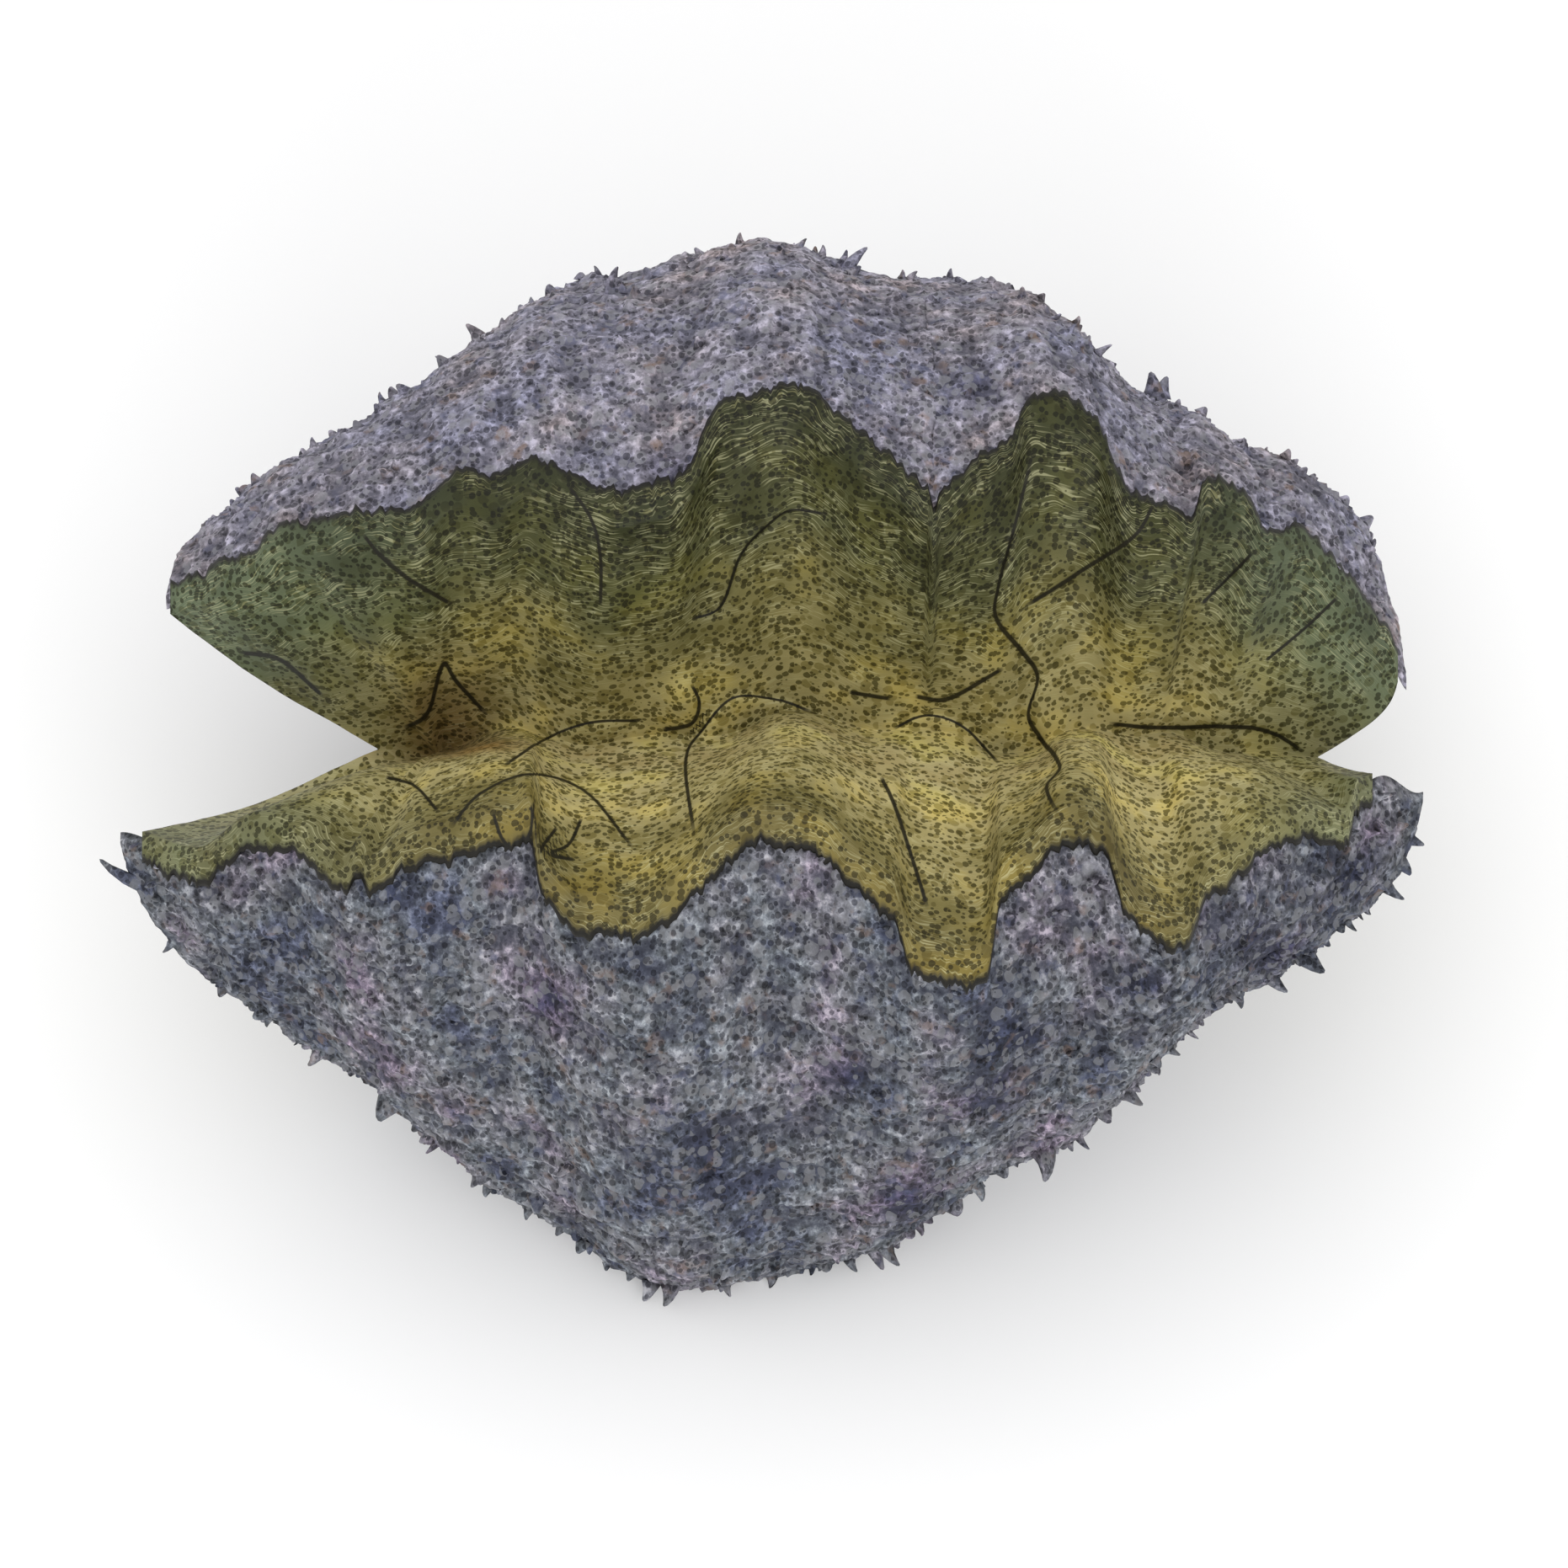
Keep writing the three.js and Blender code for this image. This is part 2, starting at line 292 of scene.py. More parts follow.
def plan_back(ground):
    """How far back on the plan points on the ground are."""
    tilt = PLAN_TILT - LEAN
    return ground[..., 1] * math.sin(tilt) + ground[..., 2] * math.cos(tilt) + PLAN_SHIFT


def crust(points, grain, octaves, shift):
    """Rough noise over points, about -1 to 1, with lumps one grain across and finer ones on them.
    Each shift gives another pattern."""
    flat = (points / grain + shift).reshape(-1, 3)
    made = np.array([noise.fractal(Vector(p), 0.8, 2.1, octaves) for p in flat])
    return made.reshape(points.shape[:-1])


def outward_of(grid, side):
    """The outward direction at every point of a grid of ribs by rows."""
    along = np.gradient(grid, axis=0)
    up = np.gradient(grid, axis=1)
    return unit(np.cross(along, up)) * -side


def mesh_piece(name, points, faces, node, material, attributes=()):
    """One mesh of the clam, from points in millimetres on the ground."""
    mesh = bpy.data.meshes.new(name)
    mesh.from_pydata((points * MM).tolist(), [], faces)
    mesh.validate()
    solid = bmesh.new()
    solid.from_mesh(mesh)
    bmesh.ops.recalc_face_normals(solid, faces=solid.faces)
    solid.to_mesh(mesh)
    solid.free()
    for label, values in attributes:
        kind = "FLOAT_VECTOR" if values.ndim == 2 else "FLOAT"
        layer = mesh.attributes.new(label, kind, "POINT")
        field = "vector" if values.ndim == 2 else "value"
        layer.data.foreach_set(field, values.astype(np.float32).ravel())
    mesh.polygons.foreach_set("use_smooth", np.ones(len(mesh.polygons), bool))
    mesh.update()
    piece = bpy.data.objects.new(name, mesh)
    bpy.context.scene.collection.objects.link(piece)
    mesh.materials.append(material)
    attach(piece, "root")
    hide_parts(node)
    return piece


def ring_faces(ribs, size, inside_out):
    """Quads between rings of points, each ring a closed loop."""
    faces = []
    for i in range(ribs):
        here = i * size
        there = here + size
        for k in range(size):
            after = (k + 1) % size
            quad = (here + k, there + k, there + after, here + after)
            faces.append(quad[::-1] if inside_out else quad)
    return faces


# ---- Materials ------------------------------------------------------------------------------


def linear(hex_colour):
    """An sRGB hex colour as linear red, green, blue and alpha."""
    parts = [int(hex_colour[i : i + 2], 16) / 255 for i in (1, 3, 5)]
    return [c / 12.92 if c <= 0.04045 else ((c + 0.055) / 1.055) ** 2.4 for c in parts] + [1.0]


def add(tree, kind, settings=None, links=None):
    """Adds a node with its settings and links. A link is a number, a colour or an output.
    The setting "stops" fills a colour ramp with (place, colour)."""
    node = tree.nodes.new("ShaderNode" + kind)
    for setting, value in (settings or {}).items():
        if setting == "stops":
            ramp = node.color_ramp
            while len(ramp.elements) < len(value):
                ramp.elements.new(0.5)
            for element, (place, colour) in zip(ramp.elements, value):
                element.position = place
                element.color = linear(colour) if isinstance(colour, str) else [colour] * 3 + [1]
        else:
            setattr(node, setting, value)
    for socket, value in (links or {}).items():
        if isinstance(value, bpy.types.NodeSocket):
            tree.links.new(value, node.inputs[socket])
        elif isinstance(value, str):
            node.inputs[socket].default_value = linear(value)
        else:
            node.inputs[socket].default_value = value
    return node.outputs


def new_material(name):
    material = bpy.data.materials.new(name)
    material.use_nodes = True
    material.node_tree.nodes.clear()
    return material, material.node_tree


MIX = {"data_type": "RGBA"}
FACTOR, FIRST, SECOND, MIXED = 0, 6, 7, 2


def round_spots(tree, skin, place, pitch, radii, blend, tone, strength):
    """Lays round spots of many sizes over a skin, a pitch apart in metres. The radii are the
    smallest and the largest, as shares of the pitch."""
    cells = add(tree, "TexVoronoi", None, {"Vector": place, "Scale": 1 / pitch})
    chance = add(tree, "SeparateColor", None, {0: cells["Color"]})["Red"]
    reach = add(
        tree, "MapRange", None, {"Value": chance, "To Min": radii[0], "To Max": radii[1]}
    )["Result"]
    inside = add(tree, "Math", {"operation": "SUBTRACT"}, {0: reach, 1: cells["Distance"]})[0]
    where = add(
        tree, "MapRange", None, {"Value": inside, "From Max": 0.05, "To Max": strength}
    )["Result"]
    return add(
        tree, "Mix", {**MIX, "blend_type": blend}, {FACTOR: where, FIRST: skin, SECOND: tone}
    )[MIXED]


def crusted_shell(name, tones):
    """Weathered aragonite shell under a crust of coralline algae: a chalky, matt skin mottled
    lavender, slate and brown, with pits and round crust spots a few millimetres across."""
    material, tree = new_material(name)
    # Crust spreads farther up the folds than across them.
    place = add(tree, "TexCoord")["Object"]
    place = add(
        tree, "VectorMath", {"operation": "MULTIPLY"}, {0: place, 1: (1.0, 1.0, 0.62)}
    )["Vector"]
    # Patches of tint about 60 mm across.
    drift = add(tree, "TexNoise", None, {"Vector": place, "Scale": 1 / 0.06, "Detail": 2.0})
    tint = add(tree, "ValToRGB", {"stops": tones["patches"]}, {"Fac": drift["Fac"]})["Color"]
    # Crust grains are about 7 mm, with finer ones on them.
    grains = add(
        tree, "TexNoise", None,
        {"Vector": place, "Scale": 1 / 0.0066, "Detail": 6.0, "Roughness": 0.66, "Distortion": 0.12},
    )["Fac"]
    shade = add(tree, "ValToRGB", {"stops": tones["grains"]}, {"Fac": grains})["Color"]
    skin = add(
        tree, "Mix", {**MIX, "blend_type": "OVERLAY"}, {FACTOR: 0.85, FIRST: tint, SECOND: shade}
    )[MIXED]
    # Broad patches of indigo painted shade.
    stain = add(tree, "Attribute", {"attribute_name": "stain"})["Fac"]
    skin = add(
        tree, "Mix", {**MIX, "blend_type": "MULTIPLY"},
        {FACTOR: stain, FIRST: skin, SECOND: tones["stain"]},
    )[MIXED]
    # Brown and blue crust in specks about 6 mm across, here and there.
    for speck_tone, seed, cut in ((tones["brown"], 3.1, 0.60), (tones["blue"], 8.7, 0.585)):
        moved = add(
            tree, "VectorMath", {"operation": "ADD"}, {0: place, 1: (seed, seed, seed)}
        )["Vector"]
        speck = add(tree, "TexNoise", None, {"Vector": moved, "Scale": 1 / 0.014, "Detail": 4.0})
        where = add(
            tree, "MapRange", None,
            {"Value": speck["Fac"], "From Min": cut, "From Max": cut + 0.09, "To Max": 0.55},
        )["Result"]
        skin = add(tree, "Mix", MIX, {FACTOR: where, FIRST: skin, SECOND: speck_tone})[MIXED]
    # Hollows are darkened towards a dark tone, and worn high places are chalky.
    relief = add(tree, "Attribute", {"attribute_name": "relief"})["Fac"]
    hollow = add(
        tree, "MapRange", None,
        {"Value": relief, "From Min": -0.2, "From Max": -2.6, "To Max": 0.62},
    )["Result"]
    skin = add(tree, "Mix", MIX, {FACTOR: hollow, FIRST: skin, SECOND: tones["hollow_tone"]})[MIXED]
    worn = add(
        tree, "MapRange", None, {"Value": relief, "From Min": 1.2, "From Max": 4.5, "To Max": 0.3}
    )["Result"]
    skin = add(tree, "Mix", MIX, {FACTOR: worn, FIRST: skin, SECOND: tones["chalk"]})[MIXED]
    # Round crust spots: flat grey ones about 6 mm across, and dark ones about 3 mm.
    skin = round_spots(tree, skin, place, 0.0086, (0.12, 0.60), "MIX", tones["disc"], 0.50)
    skin = round_spots(tree, skin, place, 0.0045, (0.12, 0.60), "MULTIPLY", tones["spot"], 0.80)
    bumps = add(
        tree, "Bump", None, {"Strength": 0.7, "Distance": 0.0022, "Height": grains}
    )["Normal"]
    surface = add(
        tree, "BsdfPrincipled", None,
        {"Base Color": skin, "Roughness": 0.92, "IOR": 1.53, "Normal": bumps,
         "Specular IOR Level": 0.25},
    )["BSDF"]
    add(tree, "OutputMaterial", None, {"Surface": surface})
    return material


def living_mantle():
    """Live mantle: soft wet tissue, olive and mustard from the algae in it, with dark pigment
    spots, fine pale lines along its folds that are painted highlights on its wrinkles, painted shade
    in its creases and on its back lobe, and a dark rim that is partly pigment and partly painted
    shadow where it meets the lip."""
    material, tree = new_material("living_mantle")
    place = add(tree, "TexCoord")["Object"]
    across = add(tree, "Attribute", {"attribute_name": "across"})["Fac"]
    grain = add(tree, "Attribute", {"attribute_name": "grain"})["Vector"]
    # Tones from the front rim, over the valley, to the back rim, which wander as they go: olive and
    # mustard flesh, painted lighter in the valley to offset its shade, and darkening on the back lobe
    # towards the back rim as painted shade under the overhanging back valve.
    wander = add(tree, "TexNoise", None, {"Vector": place, "Scale": 1 / 0.075, "Detail": 3.0})
    swing = add(
        tree, "MapRange", None, {"Value": wander["Fac"], "To Min": -0.11, "To Max": 0.11}
    )["Result"]
    moved = add(tree, "Math", {"operation": "ADD"}, {0: across, 1: swing})[0]
    lobes = add(
        tree, "ValToRGB",
        {"stops": [
            (0.02, "#635932"), (0.12, "#7f7548"), (0.26, "#b8ab7a"), (0.42, "#c9bd8e"),
            (0.55, "#b3a879"), (0.68, "#7c754c"), (0.80, "#4a4b2e"), (0.96, "#2d301a"),
        ]},
        {"Fac": moved},
    )["Color"]
    # Patches of brighter mustard and deeper olive, about 40 mm across.
    patches = add(
        tree, "TexNoise", None, {"Vector": place, "Scale": 1 / 0.042, "Detail": 4.0}
    )["Fac"]
    cloud = add(
        tree, "ValToRGB", {"stops": [(0.33, "#8a8a68"), (0.50, "#b6b6ac"), (0.66, "#e0d8a0")]},
        {"Fac": patches},
    )["Color"]
    skin = add(
        tree, "Mix", {**MIX, "blend_type": "OVERLAY"}, {FACTOR: 0.55, FIRST: lobes, SECOND: cloud}
    )[MIXED]
    # The two ends are blue-green.
    end = add(tree, "Attribute", {"attribute_name": "end"})["Fac"]
    cool = add(tree, "Math", {"operation": "MULTIPLY"}, {0: end, 1: patches})[0]
    skin = add(tree, "Mix", MIX, {FACTOR: cool, FIRST: skin, SECOND: "#66735a"})[MIXED]
    # The inhalant opening is brown, with a warmer floor.
    for place_name, tone in (("throat", "#8c7649"), ("glow", "#9a7335")):
        there = add(tree, "Attribute", {"attribute_name": place_name})["Fac"]
        skin = add(tree, "Mix", MIX, {FACTOR: there, FIRST: skin, SECOND: tone})[MIXED]
    # Pale lines about 1 mm wide and 10 to 20 mm long, along the folds: painted highlights on the
    # skin's fine wrinkles.
    warp = add(tree, "TexNoise", None, {"Vector": place, "Scale": 1 / 0.05, "Detail": 2.0})["Color"]
    bend = add(
        tree, "VectorMath", {"operation": "MULTIPLY"}, {0: warp, 1: (0.0, 0.035, 0.0)}
    )["Vector"]
    lines_at = add(tree, "VectorMath", {"operation": "ADD"}, {0: grain, 1: bend})["Vector"]
    stretched = add(
        tree, "VectorMath", {"operation": "MULTIPLY"}, {0: lines_at, 1: (1 / 0.019, 1 / 0.0011, 1.0)}
    )["Vector"]
    threads = add(tree, "TexNoise", None, {"Vector": stretched, "Scale": 1.0, "Detail": 1.0})
    beds = add(tree, "TexNoise", None, {"Vector": place, "Scale": 1 / 0.035, "Detail": 1.0})
    fine = add(
        tree, "MapRange", None,
        {"Value": threads["Fac"], "From Min": 0.52, "From Max": 0.66, "To Max": 0.27},
    )["Result"]
    bed = add(
        tree, "MapRange", None, {"Value": beds["Fac"], "From Min": 0.36, "From Max": 0.54}
    )["Result"]
    wrinkle_highlight = add(tree, "Math", {"operation": "MULTIPLY"}, {0: fine, 1: bed})[0]
    skin = add(tree, "Mix", MIX, {FACTOR: wrinkle_highlight, FIRST: skin, SECOND: "#dedbac"})[MIXED]
    # Pigment spots: soft ones about 6 mm across, and dark ones about 4 mm.
    skin = round_spots(tree, skin, place, 0.0078, (0.20, 0.60), "MULTIPLY", "#bcb894", 0.70)
    skin = round_spots(tree, skin, place, 0.0045, (0.20, 0.62), "MULTIPLY", "#83826a", 0.90)
    # Painted shade along the creases, about 2 mm wide, and along the rim a dark band that is partly
    # the mantle's own pigment and partly painted shadow where the mantle meets the lip.
    crease = add(tree, "Attribute", {"attribute_name": "crease"})["Vector"]
    parts = add(tree, "SeparateXYZ", None, {"Vector": crease})
    aside = add(tree, "Math", {"operation": "ABSOLUTE"}, {0: parts["X"]})[0]
    crease_shade = 0.95
    for value, none_at, full_at in (
        (aside, 1.5, 0.8), (parts["Y"], 30, 14), (parts["Z"], 0.1, 0.45)
    ):
        share = add(
            tree, "MapRange", None, {"Value": value, "From Min": none_at, "From Max": full_at}
        )["Result"]
        crease_shade = add(tree, "Math", {"operation": "MULTIPLY"}, {0: crease_shade, 1: share})[0]
    skin = add(tree, "Mix", MIX, {FACTOR: crease_shade, FIRST: skin, SECOND: "#16140c"})[MIXED]
    rim = add(tree, "Attribute", {"attribute_name": "rim"})["Fac"]
    skin = add(tree, "Mix", MIX, {FACTOR: rim, FIRST: skin, SECOND: "#15130d"})[MIXED]
    bumps = add(
        tree, "Bump", None, {"Strength": 0.35, "Distance": 0.001, "Height": threads["Fac"]}
    )["Normal"]
    surface = add(
        tree, "BsdfPrincipled", None,
        {"Base Color": skin, "Roughness": 0.62, "IOR": 1.38, "Normal": bumps,
         "Specular IOR Level": 0.3, "Coat Weight": 0.06, "Coat Roughness": 0.35},
    )["BSDF"]
    add(tree, "OutputMaterial", None, {"Surface": surface})
    return material


def horny_ligament():
    """Conchiolin, the clam's dark elastic horn, laid down in thin layers along the hinge."""
    material, tree = new_material("horny_ligament")
    place = add(tree, "TexCoord")["Object"]
    # Layers are about 2 mm thick.
    layered = add(
        tree, "VectorMath", {"operation": "MULTIPLY"}, {0: place, 1: (8.0, 60.0, 480.0)}
    )["Vector"]
    layers = add(tree, "TexNoise", None, {"Vector": layered, "Scale": 1.0, "Detail": 3.0})["Fac"]
    tone = add(
        tree, "ValToRGB", {"stops": [(0.35, "#20150d"), (0.55, "#3d2a1a"), (0.70, "#5b4028")]},
        {"Fac": layers},
    )["Color"]
    bumps = add(tree, "Bump", None, {"Strength": 0.5, "Distance": 0.0008, "Height": layers})
    surface = add(
        tree, "BsdfPrincipled", None,
        {"Base Color": tone, "Roughness": 0.5, "IOR": 1.54, "Normal": bumps["Normal"]},
    )["BSDF"]
    add(tree, "OutputMaterial", None, {"Surface": surface})
    return material


# Both valves are one shell. The front valve's tones are painted darker, as painted shade, and the back
# valve's lighter, as painted light from above: the back valve's band faces up, the front valve
# forward.
SHADED_FRONT_TONES = {
    "patches": [(0.30, "#5a6072"), (0.42, "#7c8286"), (0.55, "#8b8b90"), (0.68, "#948896")],
    "grains": [(0.33, "#14141c"), (0.45, "#66666b"), (0.54, "#9a9aa1"), (0.66, "#eeebec")],
    "brown": "#6f5d53",
    "blue": "#40465f",
    "disc": "#77787b",
    "spot": "#84848a",
    "hollow_tone": "#2c2e3d",
    "stain": "#6c7294",
    "chalk": "#a7a6ac",
}
LIT_BACK_TONES = {
    "patches": [(0.30, "#8e8fa1"), (0.45, "#9f9da9"), (0.58, "#a49fa5"), (0.70, "#aa9d9b")],
    "grains": [(0.33, "#1c1b26"), (0.44, "#76757a"), (0.53, "#9d9ca1"), (0.66, "#dddbe2")],
    "brown": "#7b6350",
    "blue": "#50546f",
    "disc": "#85858a",
    "spot": "#8f8f92",
    "hollow_tone": "#43434f",
    "stain": "#8f90a5",
    "chalk": "#b3b1bb",
}


# ---- The valves -----------------------------------------------------------------------------

# How the outside stands out from its smooth curve: ledges of growth a pitch apart, lumps and pits
# with a grain, and fine riblets.
LEDGE_PITCH = 24
LEDGE_HEIGHT = 2.6
LEDGE_SUNK = 1.2
LUMP_GRAIN = 34
LUMP_HEIGHT = 3.4
PIT_GRAIN = 13
PIT_DEPTH = 2.2
RIBLET_PITCH = 26
RIBLET_HEIGHT = 0.7

# A thorn's rings as level and girth, how far its tip leans, and how broad and how thick it is.
THORN_SIDES = 6
THORN_RINGS = ((-0.3, 1.2), (0.2, 0.82), (0.65, 0.52), (0.93, 0.26))
THORN_LEAN = 0.35
THORN_BREADTH = 1.5
THORN_THICKNESS = 0.75
# A tooth is built to these shares of its length and width, on the point that stands out most
# within reach of its x.
TOOTH_LENGTH = 0.72
TOOTH_WIDTH = 0.8
TOOTH_REACH = 3
SPINE = {"x": -410, "way": (-1.0, 0.1, 0.5), "lean": (0.0, 1.0, 0.0), "length": 24, "width": 5.5}
# The scattered thorns: lengths, and widths as shares of them. A few are long.
SHORT_THORN = {"length": (3.0, 6.5), "width": (0.45, 0.65)}
LONG_THORN = {"length": (8, 12), "width": (0.36, 0.46)}
LONG_SHARE = 0.06
LOWEST_ROOT = 6
LOWEST_TIP = 0.5
THORN_RELIEF = 1.5

# Patches of painted shade reach farther along the hinge than to the back.
SHADE_SQUASH = 1.3


def shoulder_swell(valve, x, t):
    """How far the shoulders swell the outside, from low on the valve to just below its margin."""
    return sum(
        height * np.exp(-(((x - centre) / reach) ** 2))
        * ease(t, 0.3, 0.55) * (1 - ease(t, 0.84, 0.99))
        for centre, reach, height in valve["shoulders"]
    )


def shell_relief(valve, grid, t):
    """How far each point of the outside stands out: growth ledges, lumps, pits and shoulders."""
    x = grid[..., 0]
    steps = np.linalg.norm(np.diff(grid, axis=1), axis=-1)[:, ::-1]
    from_margin = np.concatenate([np.zeros_like(steps[:, :1]), np.cumsum(steps, axis=1)], 1)
    phase = from_margin[:, ::-1] / LEDGE_PITCH + 0.9 * crust(grid, 70, 2, 3.0)
    ledges = LEDGE_HEIGHT * (1 - (phase % 1)) ** 3
    lumps = crust(grid, LUMP_GRAIN, 4, 11.0)
    pits = crust(grid, PIT_GRAIN, 3, 23.0)
    riblets = np.cos(x * 2 * math.pi / RIBLET_PITCH + 2.4 * crust(grid, 90, 2, 41.0))
    riblets = riblets * ease(t, 0.3, 0.8)
    relief = ledges - LEDGE_SUNK + LUMP_HEIGHT * lumps + PIT_DEPTH * pits + RIBLET_HEIGHT * riblets
    relief += shoulder_swell(valve, x, t)
    # It is smoother by the hinge and at the lip.
    relief *= 0.35 + 0.65 * ease(t, 0.02, 0.25)
    relief *= 1 - 0.55 * ease(t, 0.965, 1.0)
    return relief


def crusted_outside(valve, u, t):
    """The outside with its crust, the way out of it, and how high the crust is on it."""
    side = valve["side"]
    smooth = shell_point(valve, u, t, np.zeros_like(u))
    way = outward_of(smooth, side)
    relief = shell_relief(valve, smooth, t)
    ends = ease(u, 0.0, 0.02) * (1 - ease(u, 0.98, 1.0))
    outside = smooth + way * (relief * lerp(0.4, 1.0, ends))[..., None]
    outside[..., 1] = side * np.maximum(side * outside[..., 1], HINGE_SLIT)
    return outside, way, relief - shoulder_swell(valve, outside[..., 0], t)


def valve_faces(side, size):
    """The faces of a valve's rings, and of its two ends, closed across the thickness of the wall."""
    faces = ring_faces(SHELL_RIBS, size, side < 0)
    step = SHELL_LINING_STEP
    for start, turned in ((0, side > 0), (SHELL_RIBS * size, side < 0)):
        for k in range(SHELL_ROWS // step):
            outer_edge = [start + k * step + m for m in range(step + 1)]
            inner_edge = [start + size - 1 - k, start + size - 2 - k]
            loop = outer_edge + inner_edge[::-1]
            faces.append(tuple(loop if turned else loop[::-1]))
    return faces


def thorn(root, way, lean, length, width):
    """A blunt bent thorn, broad at its foot: its points and its faces."""
    side_a = unit(np.cross(way, lean))
    side_b = np.cross(way, side_a)
    n = THORN_SIDES
    points = []
    for level, girth in THORN_RINGS:
        centre = root + way * length * level + lean * length * THORN_LEAN * max(level, 0) ** 2
        for k in range(n):
            turn = 2 * math.pi * k / n
            spoke = side_a * math.cos(turn) * THORN_BREADTH + side_b * math.sin(turn) * THORN_THICKNESS
            points.append(centre + spoke * width * girth)
    points.append(root + way * length + lean * length * THORN_LEAN)
    last = (len(THORN_RINGS) - 1) * n
    faces = [tuple(range(n))[::-1]]
    for low in range(0, last, n):
        high = low + n
        for k in range(n):
            after = (k + 1) % n
            faces.append((low + k, low + after, high + after, high + k))
    for k in range(n):
        faces.append((last + k, last + (k + 1) % n, last + n))
    return points, faces


def outline_place(outer, standing, x):
    """The rib and row of the point that stands out most near x, or None where there is none."""
    column = np.abs(outer[..., 0] + OUTLINE_CENTRE[0] - x) < TOOTH_REACH
    column[:, : SHELL_ROWS // 4] = False
    if not column.any():
        return None
    return np.unravel_index(np.argmax(np.where(column, standing, -1e9)), standing.shape)


def thorns_of(valve, outer, way, scattered, chance):
    """Every thorn of a valve, one by one, as root, way, lean, length and width."""
    standing = valve["side"] * plan_back(outer)
    for x, length in valve["teeth"]:
        place = outline_place(outer, standing, x)
        if place is None:
            continue
        lean = unit(np.array([chance.uniform(-1, 1), 0.0, chance.uniform(-0.4, 0.6)]))
        width = length * chance.uniform(0.40, 0.52)
        yield outer[place], unit(way[place]), lean, TOOTH_LENGTH * length, TOOTH_WIDTH * width
    # The long spine at the front left corner.
    if valve is FRONT:
        root = outer[outline_place(outer, standing, SPINE["x"])]
        spine_way = unit(np.array(SPINE["way"]))
        yield root, spine_way, np.array(SPINE["lean"]), SPINE["length"], SPINE["width"]
    grid_up = unit(np.gradient(outer, axis=1))
    for _ in range(scattered):
        i = chance.randrange(6, SHELL_RIBS - 5)
        j = int(SHELL_ROWS * chance.uniform(0.30, 0.985))
        root = outer[i, j]
        if root[2] < LOWEST_ROOT:
            continue
        askew = np.array([chance.uniform(-0.35, 0.35) for _ in range(3)])
        size = LONG_THORN if chance.random() < LONG_SHARE else SHORT_THORN
        length = chance.uniform(*size["length"])
        width = length * chance.uniform(*size["width"])
        lean = unit(grid_up[i, j] * 0.8 + np.array([chance.uniform(-0.6, 0.6) for _ in range(3)]))
        yield root, unit(way[i, j] + askew), lean, length, width


def painted_shade_on(valve, points):
    """How much painted shade lies on each point, from 0 to 1, in patches with ragged edges."""
    across = points[:, 0] + OUTLINE_CENTRE[0]
    behind = plan_back(points)
    stain = np.zeros(len(points))
    for x, back, reach in valve["shade_patches"]:
        stain += np.exp(-((across - x) ** 2 + (SHADE_SQUASH * (behind - back)) ** 2) / reach**2)
    return np.clip(stain, 0, 1) * np.clip(0.85 + 0.9 * crust(points, 30, 3, 61.0), 0, 1)


def build_valve(valve, material, scattered, seed):
    """One valve: a crusted outside, a smooth lining, a lip, and thorns on the outside."""
    side = valve["side"]
    even = np.linspace(0, 1, SHELL_RIBS + 1)
    u_line = lerp(even, 0.5 - 0.5 * np.cos(math.pi * even), 0.3)
    t_line = 1 - (1 - np.linspace(0, 1, SHELL_ROWS + 1)) ** 1.25
    u, t = np.meshgrid(u_line, t_line, indexing="ij")
    outside, way, crust_height = crusted_outside(valve, u, t)
    u_in, t_in = u[:, ::SHELL_LINING_STEP], t[:, ::SHELL_LINING_STEP]
    lining = shell_point(valve, u_in, t_in, wall_at(u_in, t_in))
    outer = stand(outside, 0.0)
    inner = stand(lining, WALL_OVER_BASE)
    rings = np.concatenate([outer, inner[:, ::-1]], axis=1)
    heights = np.concatenate([crust_height, np.zeros(inner.shape[:2])], axis=1).reshape(-1)
    points = rings.reshape(-1, 3)
    faces = valve_faces(side, rings.shape[1])
    ground_way = stand(outside + way) - stand(outside)
    made = []
    for planted in thorns_of(valve, outer, ground_way, scattered, random.Random(seed)):
        corners, sides = thorn(*planted)
        base = len(points) + len(made)
        made.extend(corners)
        faces.extend(tuple(base + c for c in face) for face in sides)
    made = np.array(made)
    made[:, 2] = np.maximum(made[:, 2], LOWEST_TIP)
    points = np.concatenate([points, made])
    heights = np.concatenate([heights, np.full(len(made), THORN_RELIEF)])
    return mesh_piece(
        valve["name"], points, faces, valve["name"], material,
        [("relief", heights), ("stain", painted_shade_on(valve, points))],
    )


# ---- The mantle -----------------------------------------------------------------------------

# How far the rim stands over the lip, how far the edge hangs past it and frills, and how many
# frills there are along the margin.
RIM_LIFT = 13
OVERHANG = 5
FRILL_DEPTH = 5.5
FRILLS = 140
# How far the two lobes swell at mid length, and how far the back one bellies out at its ends.
PLUMP = 26
BELLY_LEFT = 8
BELLY_RIGHT = 13
# The underside of the body is no lower than this, and it ends this far along each rib.
MANTLE_FLOOR = 46
BODY_SEAT = 0.14
# The valley between the lobes: the x of its two ends, the share of the margin over which the ribs
# turn in to them, their heights, how round it is, and the waves that it wanders in.
NOTCH = {"left": -250, "right": 368, "fade": 0.3}
VALLEY_ENDS = (300, 266)
VALLEY_ROUND = 0.06
VALLEY_WAVES = ((9, 38, 0.6), (5, 15, 0))

# What a point far from every crease has for its distance, that distance squared, and how far
# inside the ends it is.
NO_CREASE = [99.0, 1e4, 0.0]
